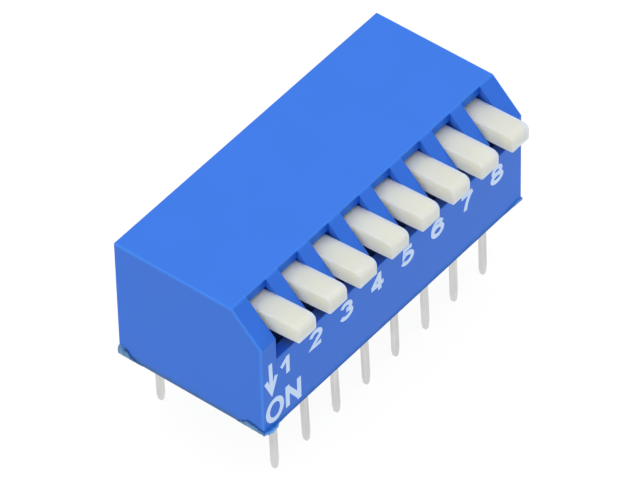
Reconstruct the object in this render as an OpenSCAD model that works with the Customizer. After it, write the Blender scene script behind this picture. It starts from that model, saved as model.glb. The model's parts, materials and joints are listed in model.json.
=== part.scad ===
// Piano-style DIP switch: a row of side levers in a moulded cover, over two rows of flat pins.
// X runs along the row from switch 1, the levers and the printed face look along -Y, +Z is up.
// The origin is the middle of the pin pattern, at the height of the cover's lower rim.

/* [Pin grid] */
// Number of switches in the row
positions = 8; // [2:1:12]
// Distance from one switch to the next
pitch = 2.54; // [2.4:0.01:3]
// Distance between the two rows of pins
row_gap = 7.62; // [7.4:0.01:10.2]

/* [Cover] */
// Cover beyond the last pin's centre line, at each end
cover_end = 1.96; // [1.6:0.01:3]
// Front face ahead of the front row of pins
front_over = 1.12; // [0.95:0.01:2]
// Back face behind the back row of pins
back_over = 0.88; // [0.8:0.01:2]
// Height of the cover from its lower rim
cover_h = 8.11; // [7.6:0.01:10]
// Depth of the slope along the front of the top
chamfer_y = 1.88; // [1.2:0.01:2.4]
// Height of that slope
chamfer_z = 1.89; // [1.2:0.01:2.4]
// Thickness of the front and back walls
wall = 0.70; // [0.5:0.01:0.75]
// Thickness of the end walls beside the base
end_wall = 0.60; // [0.4:0.01:0.8]
// Thickness of the roof
roof = 0.58; // [0.4:0.01:0.9]
// Width of the bay that each lever moves in
bay_w = 1.70; // [1.6:0.01:1.9]
// Width of the slot that each lever comes out of
slot_w = 1.58; // [1.5:0.01:1.6]
// Room between a lever that is pressed down and the end of its slot
slot_end_room = 0.08; // [0.05:0.01:0.4]

/* [Base and potting] */
// Depth of the potting under the base
potting_t = 0.50; // [0.3:0.01:0.8]
// How far the potting stays inside the rim
potting_recess = 0.05; // [0:0.01:0.2]
// Thickness of the base plate
base_t = 0.90; // [0.6:0.01:1.2]
// Gap round the base plate and its posts
base_fit = 0.03; // [0.02:0.01:0.06]
// Beads of potting that ran out along the ends: end and side (-1 left or front, 1 right or back),
// distance of the thick end from the corner, radius there, and length
end_beads = [[-1, 1, 0, 0.12, 1.15], [-1, -1, 0, 0.10, 1.40]];
// Beads along the long sides, in the same order
side_beads = [[-1, -1, 0.12, 0.21, 0.80], [1, -1, 0, 0.12, 0.90]];
// Radius of a bead's thin end
bead_tail_r = 0.05; // [0.03:0.01:0.09]

/* [Levers] */
// Width of a lever
lever_w = 1.42; // [1.2:0.01:1.46]
// How far a lever's nose stands out of the front face
lever_reach = 1.45; // [1:0.01:2.2]
// Thickness of a lever where it passes the front face
lever_t = 1.05; // [0.8:0.01:1.1]
// Rise of a lever's faces towards its nose, in degrees
lever_rise = 2.8; // [0:0.1:5]
// Room between the roof's underside and the lever's top
lever_room = 0.17; // [0.15:0.01:0.4]
// Radius of the nose's upper edge
nose_top_r = 0.37; // [0.2:0.01:0.65]
// Radius of the nose's lower edge
nose_low_r = 0.12; // [0.05:0.01:0.3]
// Radius of the nose's side edges, seen from above
nose_side_r = 0.08; // [0.05:0.01:0.4]
// How far each lever rests off the common off position, in degrees, nose down positive; the list repeats
lever_rest = [-0.9, -1.3, -0.4, -0.3, -0.1, 0.3, 0.9, 1.2]; // [-1.5:0.1:1.5]
// Where each lever sits in its side play, from -1 at its left stop to 1 at its right stop; the list repeats
lever_side = [0.75, 0.75, -0.75, 0.65, 0.75, 0.75, -0.75, -0.25]; // [-0.8:0.05:0.8]
// Turn from the off position to the on position, in degrees
throw = 20; // [12:0.5:22]
// How far in front of the pivot the flat top of a lever ends
heel_y = 0.80; // [0.4:0.01:1]
// How far behind the front wall a lever's underside turns down to the cam
throat_y = 0.25; // [0.1:0.01:0.6]

/* [Pivots] */
// Distance of the pivot axis behind the middle of the switch, negative towards the levers
pivot_y = -0.30; // [-0.6:0.01:0]
// Distance of the pivot axis under the roof
pivot_drop = 2.23; // [2.15:0.01:2.5]
// Radius of a lever's trunnions
trunnion_r = 0.50; // [0.4:0.01:0.6]
// Length of a trunnion beyond the lever's side
trunnion_l = 0.45; // [0.35:0.01:0.5]
// Running clearance round a trunnion
trunnion_fit = 0.03; // [0.02:0.01:0.08]
// Radius of the hub round the trunnions
hub_r = 1.20; // [1:0.01:1.3]
// Radius of the thrust faces beside the trunnions
boss_r = 0.80; // [0.65:0.01:0.95]
// Gap between a thrust face and the bay's side
boss_fit = 0.08; // [0.05:0.01:0.1]
// Distance of the cam lobe in front of the pivot
cam_y = 1.05; // [0.9:0.01:1.2]
// Distance of the cam lobe under the pivot
cam_z = 1.70; // [1.6:0.01:1.8]
// Radius of the cam lobe
cam_r = 0.45; // [0.35:0.01:0.5]

/* [Terminals] */
// Width of a pin
pin_w = 0.46; // [0.4:0.01:0.6]
// Thickness of the terminals' strip
strip_t = 0.20; // [0.15:0.01:0.25]
// Length of the pins below the rim
pin_l = 4.74; // [2.5:0.01:5.5]
// Length of the tapered end of a pin
tip_l = 0.55; // [0.3:0.01:0.9]
// Width of a pin's tip
tip_w = 0.28; // [0.2:0.01:0.36]
// Outward splay of each front pin, in degrees
front_splay = [0.8, 1.7, 1.5, 1.3, 0.8, 1.2, 0.3, 0.2]; // [0:0.1:4]
// Lean of the front pins along the row, in degrees
front_lean = 0.9; // [0:0.1:4]
// Outward splay of the back pins, in degrees
back_splay = 1.3; // [0:0.1:3]
// Lean of the back pins along the row, in degrees
back_lean = 2.9; // [0:0.1:4]
// Inner radius of the bend from pin to pad
bend_r = 0.12; // [0.05:0.01:0.2]
// Width of the pads inside
pad_w = 1.30; // [1:0.01:1.5]
// Length of a fixed terminal's pad past its pin
fixed_pad_l = 2.75; // [2.2:0.01:3.2]
// Length of a moving terminal's pad past its pin
moving_pad_l = 1.55; // [1.2:0.01:2]
// Distance of the contact dome from the front pins
dome_in = 1.56; // [1.3:0.01:1.8]
// Height of the contact dome
dome_h = 0.12; // [0.05:0.01:0.16]
// Ball radius of the contact dome
dome_r = 0.45; // [0.35:0.01:0.55]

/* [Contact springs] */
// Thickness of a spring
spring_t = 0.10; // [0.06:0.01:0.14]
// Width of a spring
spring_w = 0.95; // [0.7:0.01:1.2]
// Width of a spring's contact end
spring_end_w = 0.66; // [0.5:0.01:0.7]
// Width of the cut that splits the contact end in two
split_w = 0.12; // [0.08:0.01:0.18]
// Length of that cut
split_l = 1.60; // [1:0.01:2]
// How far the cam presses the crest down
spring_press = 0.30; // [0.15:0.01:0.4]
// Open gap between the spring and the contact dome
contact_gap = 0.38; // [0.25:0.01:0.5]
// Inner radius of the spring's bends
spring_bend = 0.30; // [0.2:0.01:0.4]
// How far the spring's foot stops short of its pad's inner end
foot_short = 0.15; // [0:0.01:0.4]
// Length and height of the lip past the contact point
lip_l = 0.32; // [0.2:0.01:0.5]
lip_h = 0.26; // [0.1:0.01:0.4]

/* [Hidden] */

cover_blue = [0.21, 0.42, 0.86];
lever_ivory = [0.92, 0.92, 0.88];
base_black = [0.10, 0.10, 0.12];
resin_teal = [0.22, 0.45, 0.52];
tin = [0.78, 0.78, 0.76];
bronze = [0.86, 0.66, 0.34];

round_fn = 64;
small_fn = 32;
bead_steps = 5;     // steps of a bead's round ends
cut = 0.5;          // how far a cutting shape runs past what it cuts

// Cover, seen from the end
row_y = row_gap / 2;
front_y = -row_y - front_over;
back_y = row_y + back_over;
cover_l = (positions - 1) * pitch + 2 * cover_end;
top_front_y = front_y + chamfer_y;
slope_low_z = cover_h - chamfer_z;
roof_z = cover_h - roof;
base_low_z = potting_t + potting_recess;
base_top_z = base_low_z + base_t;
inner_front_y = front_y + wall;
inner_back_y = back_y - wall;
base_half_l = cover_l / 2 - end_wall;

// Levers
pivot_z = roof_z - pivot_drop;
lever_top_z = roof_z - lever_room;              // at the front of the roof
nose_y = front_y - lever_reach;
trunnion_span = lever_w + 2 * trunnion_l;
side_play = min((slot_w - lever_w) / 2, boss_fit);
saddle_r = trunnion_r + trunnion_fit;
// the underside of a lever, turned down by the throw, where it passes the front face
under_on = turned([front_y - pivot_y, lever_under(front_y) - pivot_z], throw);
slot_low_z = pivot_z + under_on[1]
    + (front_y - pivot_y - under_on[0]) * tan(throw - lever_rise) - slot_end_room;

// Terminals and springs
pad_top_z = base_top_z + strip_t;
dome_y = -row_y + dome_in;
cam_on = turned([-cam_y, -cam_z], throw);
crest = [pivot_y + cam_on[0], pivot_z + cam_on[1] - cam_r + spring_press - spring_t / 2];
touch_z = pad_top_z + dome_h + contact_gap + spring_t / 2;
spring_foot_z = pad_top_z + spring_t / 2;

// a point turned about the origin by the right-hand rule about +X
function turned(p, a) = [p[0] * cos(a) - p[1] * sin(a), p[0] * sin(a) + p[1] * cos(a)];
// height of a lever's top and underside at a distance y
function lever_top(y) = lever_top_z + (top_front_y - y) * tan(lever_rise);
function lever_under(y) = lever_top(y) - lever_t / cos(lever_rise);
// place of a switch along the row, its lever's place there, and how far that lever rests off the off position
function switch_x(i) = (i - (positions + 1) / 2) * pitch;
function lever_x(i) = switch_x(i) + side_play * lever_side[(i - 1) % len(lever_side)];
function rest_turn(i) = lever_rest[(i - 1) % len(lever_rest)];
// splay of one front pin
function splay_of(i) = front_splay[(i - 1) % len(front_splay)];

function unit(v) = v / norm(v);
// ends of the line that touches circles of radii r1 and r2 on one side, 1 for the right and -1 for the left
function flank(c1, r1, c2, r2, side) =
    let (n = turned(unit(c2 - c1), -side * acos((r1 - r2) / norm(c2 - c1))))
    [c1 + r1 * n, c2 + r2 * n];
// points of the arc that rounds corner b of the path a, b, c to radius r
function corner(a, b, c, r, steps) =
    let (u = unit(a - b), v = unit(c - b),
         half = acos(u * v) / 2,
         centre = b + unit(u + v) * r / sin(half),
         p = b + u * r / tan(half) - centre,
         side = sign(u[0] * v[1] - u[1] * v[0]),
         sweep = -side * (180 - 2 * half))
    [for (k = [0 : steps]) centre + turned(p, sweep * k / steps)];
// a path with each inner corner rounded
function rounded(path, r, steps) = [
    path[0],
    for (k = [1 : len(path) - 2]) each corner(path[k - 1], path[k], path[k + 1], r, steps),
    path[len(path) - 1]];
// a path's point k moved to its left by d, so that the edges on both sides move by just d
function beside(p, k, d) =
    let (a = k > 0 ? unit(p[k] - p[k - 1]) : unit(p[1] - p[0]),
         b = k < len(p) - 1 ? unit(p[k + 1] - p[k]) : a)
    p[k] + d / (1 + a * b) * [-(a + b)[1], (a + b)[0]];
// outline of a strip of thickness t along a path
function strip(p, t) = concat(
    [for (k = [0 : len(p) - 1]) beside(p, k, t / 2)],
    [for (k = [len(p) - 1 : -1 : 0]) beside(p, k, -t / 2)]);

// a Y-Z outline drawn out along X, centred on x = 0
module along_x(w) {
    rotate([90, 0, 90]) translate([0, 0, -w / 2]) linear_extrude(w) children();
}
// an X-Z outline drawn out along Y from y0 to y1
module along_y(y0, y1) {
    translate([0, y1, 0]) rotate([90, 0, 0]) linear_extrude(y1 - y0) children();
}
// a box between two corners
module box(a, b) {
    translate(a) cube(b - a);
}

// ---- cover -------------------------------------------------------------

module cover_outline() {
    polygon([[front_y, 0], [front_y, slope_low_z], [top_front_y, cover_h], [back_y, cover_h], [back_y, 0]]);
}

module bay_outline() {
    low_z = base_top_z - cut;
    slope_z = roof_z - (top_front_y - inner_front_y) * chamfer_z / chamfer_y;
    polygon([[inner_front_y, low_z], [inner_front_y, slope_z], [top_front_y, roof_z],
             [inner_back_y, roof_z], [inner_back_y, low_z]]);
}

// downward-open saddles for the trunnions, through every rib and into the end walls
module saddle_cut() {
    w = (positions - 1) * pitch + trunnion_span + 2 * boss_fit;
    along_x(w) union() {
        translate([pivot_y, pivot_z]) circle(r = saddle_r, $fn = round_fn);
        translate([pivot_y - saddle_r, base_top_z - cut]) square([2 * saddle_r, pivot_z - base_top_z + cut]);
    }
}

module cover() {
    color(cover_blue) difference() {
        along_x(cover_l) cover_outline();
        box([-base_half_l, inner_front_y, -cut], [base_half_l, inner_back_y, base_top_z]);
        for (i = [1 : positions]) translate([switch_x(i), 0, 0]) {
            along_x(bay_w) bay_outline();
            box([-slot_w / 2, front_y - cut, slot_low_z], [slot_w / 2, top_front_y, cover_h + cut]);
        }
        saddle_cut();
    }
}

// ---- base and potting --------------------------------------------------

module pin_slots(z0, z1) {
    for (i = [1 : positions], side = [-1, 1]) translate([switch_x(i), side * row_y, 0])
        box([-pin_w / 2, -strip_t / 2, z0], [pin_w / 2, strip_t / 2, z1]);
}

// room for the inside of each terminal's bend
module bend_relief() {
    room = bend_r + base_fit;
    for (i = [1 : positions], side = [-1, 1])
        translate([switch_x(i), side * (row_y - strip_t / 2 - room / 2), base_top_z])
            cube([pin_w, room, 2 * room], center = true);
}

module base() {
    post_y = saddle_r - base_fit;
    post_top = pivot_z - saddle_r;
    rib_w = pitch - bay_w - 2 * base_fit;
    end_rib_w = (trunnion_span - bay_w) / 2 + boss_fit - 2 * base_fit;
    color(base_black) union() {
        difference() {
            box([-base_half_l + base_fit, inner_front_y + base_fit, base_low_z],
                [base_half_l - base_fit, inner_back_y - base_fit, base_top_z]);
            pin_slots(base_low_z - cut, base_top_z + cut);
            bend_relief();
        }
        for (i = [1 : positions - 1])
            translate([(switch_x(i) + switch_x(i + 1)) / 2, pivot_y, 0])
                box([-rib_w / 2, -post_y, base_top_z - base_fit], [rib_w / 2, post_y, post_top]);
        for (side = [-1, 1])
            translate([side * (switch_x(positions) + bay_w / 2 + base_fit + end_rib_w / 2), pivot_y, 0])
                box([-end_rib_w / 2, -post_y, base_top_z - base_fit], [end_rib_w / 2, post_y, post_top]);
    }
}

// a bead of resin with round ends, lying along +X on z = 0 and thinning out from radius r to its tail
module bead(r, l) {
    taper = atan2(r - bead_tail_r, l);
    tail = [0, l / cos(taper)];
    function around(c, r, a0, a1) =
        [for (k = [0 : bead_steps]) c + turned([r, 0], a0 + (a1 - a0) * k / bead_steps)];
    translate([0, 0, r]) rotate([0, 90 + taper, 0]) rotate_extrude($fn = small_fn)
        polygon(concat(around([0, 0], r, -90, taper), around(tail, bead_tail_r, taper, 90)));
}

// moves to one of the cover's lower corners
module at_corner(end, side) {
    translate([end * cover_l / 2, side < 0 ? front_y : back_y, 0]) children();
}

// the potting, and what ran out at the rim's corners and set against the outside of the cover
module epoxy_seal() {
    color(resin_teal) union() {
        difference() {
            box([-base_half_l, inner_front_y, potting_recess], [base_half_l, inner_back_y, base_low_z]);
            pin_slots(-cut, base_low_z + cut);
        }
        difference() {
            union() {
                for (b = end_beads) at_corner(b[0], b[1]) translate([0, -b[1] * b[2], 0])
                    rotate([0, 0, -b[1] * 90]) bead(b[3], b[4]);
                for (b = side_beads) at_corner(b[0], b[1]) translate([-b[0] * b[2], 0, 0])
                    rotate([0, 0, b[0] > 0 ? 180 : 0]) bead(b[3], b[4]);
            }
            box([-cover_l / 2, front_y, -cut], [cover_l / 2, back_y, cover_h]);
        }
    }
}

// ---- levers ------------------------------------------------------------

module lever_outline() {
    pivot = [pivot_y, pivot_z];
    top_c = [nose_y + nose_top_r, lever_top(nose_y + nose_top_r) - nose_top_r / cos(lever_rise)];
    low_c = [nose_y + nose_low_r, lever_under(nose_y + nose_low_r) + nose_low_r / cos(lever_rise)];
    cam_c = [pivot_y - cam_y, pivot_z - cam_z];
    throat = [inner_front_y + throat_y, lever_under(inner_front_y + throat_y)];
    heel = [pivot_y - heel_y, lever_top(pivot_y - heel_y)];
    front_flank = flank(throat, 0, cam_c, cam_r, 1);
    back_flank = flank(cam_c, cam_r, pivot, hub_r, 1);
    heel_flank = flank(heel, 0, pivot, hub_r, -1);
    // the paddle, with the nose's front between its two rounded edges
    polygon([[nose_y, low_c[1]], [nose_y, top_c[1]], top_c, [top_c[0], lever_top(top_c[0])], heel,
             [heel[0], lever_under(heel[0])], throat, [low_c[0], lever_under(low_c[0])], low_c]);
    intersection() {
        translate(top_c) circle(r = nose_top_r, $fn = round_fn);
        translate([nose_y - cut, top_c[1]]) square([nose_top_r + cut, nose_top_r + cut]);
    }
    intersection() {
        translate(low_c) circle(r = nose_low_r, $fn = small_fn);
        translate([nose_y - cut, low_c[1] - nose_low_r - cut]) square([nose_low_r + cut, nose_low_r + cut]);
    }
    // the body from the paddle down to the cam lobe, and round the hub
    polygon([throat, front_flank[1], cam_c, back_flank[0], back_flank[1], pivot, heel_flank[1], heel]);
    translate(pivot) circle(r = hub_r, $fn = round_fn);
    translate(cam_c) circle(r = cam_r, $fn = round_fn);
}

// seen from above, with the nose's side edges rounded
module lever_plan() {
    back = pivot_y + hub_r + cut;
    for (sx = [-1, 1]) translate([sx * (lever_w / 2 - nose_side_r), nose_y + nose_side_r])
        circle(r = nose_side_r, $fn = small_fn);
    translate([-lever_w / 2, nose_y + nose_side_r]) square([lever_w, back - nose_y - nose_side_r]);
    translate([-lever_w / 2 + nose_side_r, nose_y]) square([lever_w - 2 * nose_side_r, back - nose_y]);
}

module lever(i) {
    boss_l = bay_w - 2 * boss_fit;
    color(lever_ivory) translate([lever_x(i), pivot_y, pivot_z]) rotate([rest_turn(i), 0, 0])
        translate([0, -pivot_y, -pivot_z]) union() {
            intersection() {
                along_x(lever_w) lever_outline();
                linear_extrude(cover_h + cut) lever_plan();
            }
            translate([0, pivot_y, pivot_z]) rotate([0, 90, 0]) {
                cylinder(r = boss_r, h = boss_l, center = true, $fn = round_fn);
                cylinder(r = trunnion_r, h = trunnion_span, center = true, $fn = round_fn);
            }
        }
}

// ---- terminals ---------------------------------------------------------

// Y-Z outline of a strip bent from a pad into a pin, for the row at +Y
module terminal_side(pad_l, splay) {
    pad_end = [row_y - pad_l, base_top_z + strip_t / 2];
    bend = [row_y, base_top_z + strip_t / 2];
    rim = [row_y, 0];
    tip = [row_y + pin_l * tan(splay), -pin_l];
    path = concat([pad_end], corner(pad_end, bend, rim, bend_r + strip_t / 2, 8), [rim, tip]);
    polygon(strip(path, strip_t));
}

// X-Z outline of the same strip: a wide pad above the base, a narrow pin with a tapered tip below
module terminal_front(lean) {
    // half widths down the strip, with the tip's corners cut at 45 degrees
    side = [[pad_w / 2, pad_top_z], [pad_w / 2, base_top_z], [pin_w / 2, base_top_z], [pin_w / 2, 0],
            [pin_w / 2, tip_l - pin_l], [tip_w / 2, tip_w / 4 - pin_l], [tip_w / 4, -pin_l]];
    function leaned(p, sx) = [sx * p[0] - min(p[1], 0) * tan(lean), p[1]];
    polygon(concat([for (p = side) leaned(p, -1)],
                   [for (k = [len(side) - 1 : -1 : 0]) leaned(side[k], 1)]));
}

module terminal(pad_l, splay, lean) {
    intersection() {
        along_x(pad_w + cut) terminal_side(pad_l, splay);
        along_y(-cut, row_y + back_over + cut) terminal_front(lean);
    }
}

module fixed_terminal(i) {
    color(tin) translate([switch_x(i), 0, 0]) union() {
        mirror([0, 1, 0]) terminal(fixed_pad_l, splay_of(i), front_lean);
        intersection() {
            translate([0, dome_y, pad_top_z + dome_h - dome_r]) sphere(r = dome_r, $fn = small_fn);
            box([-pad_w / 2, dome_y - dome_r, pad_top_z - strip_t / 2],
                [pad_w / 2, dome_y + dome_r, pad_top_z + dome_h]);
        }
    }
}

module moving_terminal(i) {
    color(tin) translate([switch_x(i), 0, 0]) terminal(moving_pad_l, back_splay, back_lean);
}

// ---- contact springs ---------------------------------------------------

module spring_side() {
    foot_y = row_y - strip_t / 2 - bend_r;
    rise_y = row_y - moving_pad_l + foot_short;
    path = [[foot_y, spring_foot_z], [rise_y, spring_foot_z], crest, [dome_y, touch_z],
            [dome_y - lip_l, touch_z + lip_h]];
    polygon(strip(rounded(path, spring_bend, 4), spring_t));
}

// seen from above: narrower and split at the contact end, which tapers in over half the cut's length
module spring_plan() {
    end_y = dome_y - 2 * lip_l;
    root_y = end_y + split_l;
    side = [[spring_w / 2, row_y], [spring_w / 2, root_y + split_l / 4],
            [spring_end_w / 2, root_y - split_l / 4], [spring_end_w / 2, end_y]];
    difference() {
        polygon(concat(side, [for (k = [len(side) - 1 : -1 : 0]) [-side[k][0], side[k][1]]]));
        translate([-split_w / 2, end_y - cut]) square([split_w, split_l + cut]);
    }
}

module contact_spring(i) {
    color(bronze) translate([switch_x(i), 0, 0]) intersection() {
        along_x(spring_w + cut) spring_side();
        linear_extrude(cover_h) spring_plan();
    }
}

// ---- the switch --------------------------------------------------------

cover();
base();
epoxy_seal();
for (i = [1 : positions]) {
    lever(i);
    contact_spring(i);
    fixed_terminal(i);
    moving_terminal(i);
}
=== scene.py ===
"""Dresses the DIP switch model: moulded cover, rounded levers, print, pins, resin, and a studio for it."""

import json
import math

import bpy
import numpy as np
from bpy.props import FloatProperty, FloatVectorProperty, PointerProperty
from bpy.types import Operator, Panel, PropertyGroup
from mathutils import Matrix, Vector


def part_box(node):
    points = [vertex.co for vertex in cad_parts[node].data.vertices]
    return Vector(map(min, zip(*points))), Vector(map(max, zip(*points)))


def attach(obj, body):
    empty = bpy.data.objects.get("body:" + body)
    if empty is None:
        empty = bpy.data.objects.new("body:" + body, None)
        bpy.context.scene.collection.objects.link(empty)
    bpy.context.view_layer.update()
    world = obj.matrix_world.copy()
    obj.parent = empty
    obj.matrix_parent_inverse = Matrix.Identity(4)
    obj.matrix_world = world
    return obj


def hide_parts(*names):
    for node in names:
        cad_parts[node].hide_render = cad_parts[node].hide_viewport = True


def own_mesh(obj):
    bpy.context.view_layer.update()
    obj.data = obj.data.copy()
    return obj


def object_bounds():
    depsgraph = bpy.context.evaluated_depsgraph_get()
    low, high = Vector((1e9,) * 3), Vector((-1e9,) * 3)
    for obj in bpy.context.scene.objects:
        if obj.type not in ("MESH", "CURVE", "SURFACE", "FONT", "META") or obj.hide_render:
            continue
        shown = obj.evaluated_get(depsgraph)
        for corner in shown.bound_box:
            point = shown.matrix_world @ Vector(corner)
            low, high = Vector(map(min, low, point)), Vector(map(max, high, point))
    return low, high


bl_info = {
    "name": "DIP Switch Dressing",
    "version": (1, 0, 0),
    "blender": (4, 5, 0),
    "location": "View3D > Sidebar > DIP Switch",
    "description": "Builds the finished surfaces of a DIP switch with side levers, and its studio",
    "category": "Object",
}

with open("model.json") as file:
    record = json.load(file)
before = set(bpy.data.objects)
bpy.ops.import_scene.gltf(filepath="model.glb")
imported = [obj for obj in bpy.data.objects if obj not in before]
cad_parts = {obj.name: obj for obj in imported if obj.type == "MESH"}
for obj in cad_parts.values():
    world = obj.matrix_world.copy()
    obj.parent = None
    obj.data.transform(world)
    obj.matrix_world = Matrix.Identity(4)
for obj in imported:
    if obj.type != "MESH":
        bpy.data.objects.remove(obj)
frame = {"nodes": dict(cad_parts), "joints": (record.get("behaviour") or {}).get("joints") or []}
CAD_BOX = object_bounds()
MM = 0.001

LEVERS = sorted(n for n in frame["nodes"] if n.startswith("lever_"))
TERMINALS = sorted(n for n in frame["nodes"] if "_terminal_" in n)
SPRINGS = sorted(n for n in frame["nodes"] if n.startswith("contact_spring_"))
HINGES = {joint["child"]: joint for joint in frame["joints"]}

# From one lever to the next, and from the part's middle to each row of pins.
PITCH = 2.54 * MM
PIN_ROW = 3.81 * MM
# How far the cover's slope goes back from the front, and down from the top.
SLOPE_DEPTH = 1.88 * MM
SLOPE_HEIGHT = 1.89 * MM
# Turn from the place in which a lever is drawn to ON.
TRAVEL = math.radians(20)


def centre_of(node):
    """Middle of a CAD node's box, in metres."""
    low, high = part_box(node)
    return (Vector(low) + Vector(high)) / 2


# ---- sizes and colours that a user would change ------------------------------


def length(name, default, description):
    """A length in metres."""
    return FloatProperty(name=name, description=description, default=default, min=0.0, unit="LENGTH",
                         precision=6)


def colour(name, default, description):
    """A scene-linear colour."""
    return FloatVectorProperty(name=name, description=description, default=default, size=3, min=0, max=1,
                               subtype="COLOR")


def angle(name, degrees, description):
    """An angle, with its default in degrees."""
    return FloatProperty(name=name, description=description, default=math.radians(degrees), subtype="ANGLE")


def share(name, default, description, least=0.0):
    """A number from the least up to 1."""
    return FloatProperty(name=name, description=description, default=default, min=least, max=1,
                         subtype="FACTOR")


class DipCoverProps(PropertyGroup):
    blue: colour("Blue", (0.041, 0.196, 0.82), "Colour of the moulded cover")
    # Slope: painted shade, the sloping face painted darker than the rest of the cover.
    slope: colour("Slope", (0.034, 0.170, 0.77), "Colour of the sloping face between the levers")
    # Rim: painted highlight along the cover's sharp edges.
    rim: colour("Rim", (0.055, 0.275, 0.97), "Paler colour along the cover's sharp edges")
    inside: colour("Inside", (0.045, 0.192, 0.77), "Colour of the faces inside the slots")
    # Smear: a resin stain on the end's foot, darkened further by painted shade.
    smear: colour("Smear", (0.055, 0.15, 0.34), "Colour where resin has smeared the cover's end")
    # Front Smear: painted shade along the foot of the front.
    front_smear: colour("Front Smear", (0.0, 0.14, 0.62), "Colour where resin has smeared the cover's front")
    # Depth: painted shade, the bays under the levers painted a deeper blue than the cover.
    depth: colour("Depth", (0.028, 0.145, 0.84), "Colour of the bays under the levers")
    shade: colour("Shade", (0.05, 0.12, 0.42), "Colour of the bays in a lever's shade")
    corner: colour("Corner", (0.010, 0.115, 0.68), "Shaded colour in the right upper corner of each slot")
    edge_radius: length("Edge Radius", 0.03 * MM, "Radius of the cover's moulded edges")
    grain: length("Grain", 0.07 * MM, "Size of the grain that the mould leaves")
    roughness: share("Roughness", 0.42, "Roughness of the moulded skin")


class DipLeverProps(PropertyGroup):
    ivory: colour("Ivory", (0.725, 0.735, 0.65), "Colour of the levers")
    # Side: painted light, the flat sides painted paler than the top.
    side: colour("Side", (0.88, 0.855, 0.68), "Colour of a lever's flat sides, which glow a little")
    # Rim: a painted highlight along a lever's right upper edge.
    rim: colour("Rim", (0.62, 0.78, 0.96), "Colour of the bright line along a lever's right upper edge")
    # Nose: painted light, the nose's face painted paler than the top.
    nose: colour("Nose", (0.79, 0.81, 0.73), "Colour of a lever's nose")
    # Nose Rim: a painted highlight under a lever's nose.
    nose_rim: colour("Nose Rim", (0.80, 0.96, 1.0), "Colour of the bright line under a lever's nose")
    reach: length("Reach", 1.45 * MM, "How far a lever stands out of the cover's front")
    width: length("Width", 1.42 * MM, "Width of a lever")
    thickness: length("Thickness", 1.05 * MM, "Thickness of a lever's paddle")
    nose_top: length("Nose Top Radius", 0.37 * MM, "Radius of the nose's upper edge")
    nose_low: length("Nose Low Radius", 0.12 * MM, "Radius of the nose's lower edge")
    nose_side: length("Nose Side Radius", 0.08 * MM, "Radius of the nose's upright edges")
    side_edge: length("Side Edge Radius", 0.05 * MM, "Radius of a lever's long edges")
    rise: angle("Rise", 2.8, "Slope of the paddle towards the nose")


class DipMetalProps(PropertyGroup):
    tin: colour("Tin", (0.64, 0.64, 0.632), "Colour of the plated terminals")
    bronze: colour("Bronze", (0.72, 0.45, 0.18), "Colour of the contact springs")
    spring_keep: share("Spring Keep", 0.80, "Height that a spring keeps under a lever at ON", least=0.1)


class DipResinProps(PropertyGroup):
    teal: colour("Teal", (0.03, 0.11, 0.16), "Colour of the resin seal under the part")
    end_bead: colour("End Bead", (0.115, 0.285, 0.52), "Colour of the resin beads along the end")
    end_thin: colour("End Thin", (0.03, 0.13, 0.36), "Colour of the resin where an end bead is thin")
    # End Crease: painted shade along the top of an end bead.
    end_crease: colour("End Crease", (0.002, 0.07, 0.33), "Colour along the top of an end bead")
    lump: colour("Lump", (0.14, 0.40, 0.86), "Colour of the resin drop at the front corner")
    front_thin: colour("Front Thin", (0.04, 0.15, 0.60), "Colour of the resin where the front bead is thin")
    # Front Crease: painted shade along the top of the front bead.
    front_crease: colour("Front Crease", (0.025, 0.17, 0.60), "Colour along the top of the front bead")
    black: colour("Black", (0.02, 0.02, 0.024), "Colour of the base plate")


class DipPrintProps(PropertyGroup):
    ink: colour("Ink", (0.70, 0.84, 1.0), "Colour of the printed marks")
    # Brightener: a painted glow, light that the ink gives out of its own.
    brightener: colour("Brightener", (0.02, 0.05, 0.14), "Light that the ink gives back besides its colour")
    ink_height: length("Ink Height", 0.012 * MM, "Thickness of the print")
    digit_height: length("Digit Height", 1.27 * MM, "Height of the numbers")
    digit_width: length("Digit Width", 1.10 * MM, "Width of the numbers")
    pen: length("Pen", 0.28 * MM, "Width of the printed lines")
    pitch: length("Pitch", PITCH, "Distance from one number to the next")


class DipStageProps(PropertyGroup):
    azimuth: angle("Azimuth", -50.4844, "Camera's direction round the part")
    elevation: angle("Elevation", 45.0591, "Camera's height above the horizon")
    roll: angle("Roll", -1.4093, "Camera's turn about its own axis")
    distance: length("Distance", 339.981 * MM, "Camera's distance from its target")
    target: FloatVectorProperty(name="Target", description="Point in the middle of the picture", size=3,
                                default=(0.99526 * MM, 0.81908 * MM, 1.28631 * MM), subtype="TRANSLATION")
    light: FloatProperty(name="Light", description="Brightness of the tent overhead", default=1.40, min=0)
    lens: FloatProperty(name="Lens", description="Focal length on a 36 mm wide sensor, in millimetres",
                        default=364.607, min=1.0)


# ---- meshes from arrays ------------------------------------------------------


def grid_faces(rows, columns, closed=False):
    """Quads of a grid of points, row after row; the rows of a closed one run round to their first point."""
    r, c = np.meshgrid(np.arange(rows - 1), np.arange(columns if closed else columns - 1), indexing="ij")
    r, c = r.ravel() * columns, c.ravel()
    after = (c + 1) % columns
    return np.stack([r + c, r + after, r + columns + after, r + columns + c], 1)


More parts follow.
